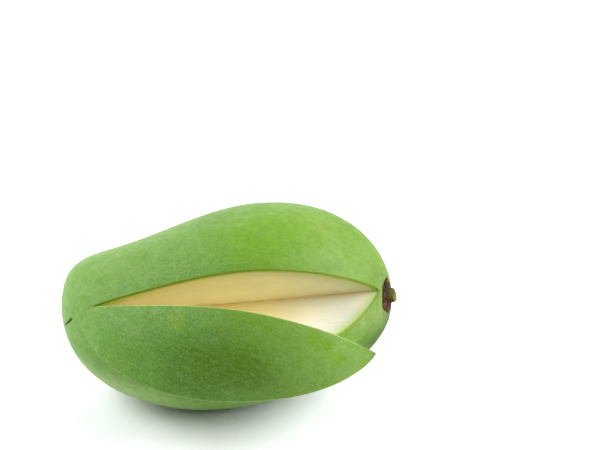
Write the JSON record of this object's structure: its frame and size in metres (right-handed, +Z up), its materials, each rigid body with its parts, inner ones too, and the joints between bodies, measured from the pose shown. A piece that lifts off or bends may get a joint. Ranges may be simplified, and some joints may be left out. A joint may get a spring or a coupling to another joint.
{
  "type": "green mango with a cut wedge",
  "caption": "Whole green mango lying on its side, with a wedge cut from its front and swung out to show pale flesh.",
  "frame": {"origin": "middle of the small flat spot under the fruit that it rests on", "axes": "+X along the fruit towards its stem end, +Z up, -Y towards the side with the cut"},
  "size_m": [0.1348, 0.0974, 0.0798],
  "materials": {
    "green_skin": "waxy yellow-green skin, cut faces of pale cream flesh",
    "slice_skin": "waxy green skin with fine pale dots, cut faces of pale cream flesh",
    "stem": "dry brown corky collar round a broken olive-yellow stem"
  },
  "bodies": {
    "root": {"fruit": "green_skin", "cut_slice": "slice_skin", "stem_stub": "stem"}
  },
  "joints": []
}
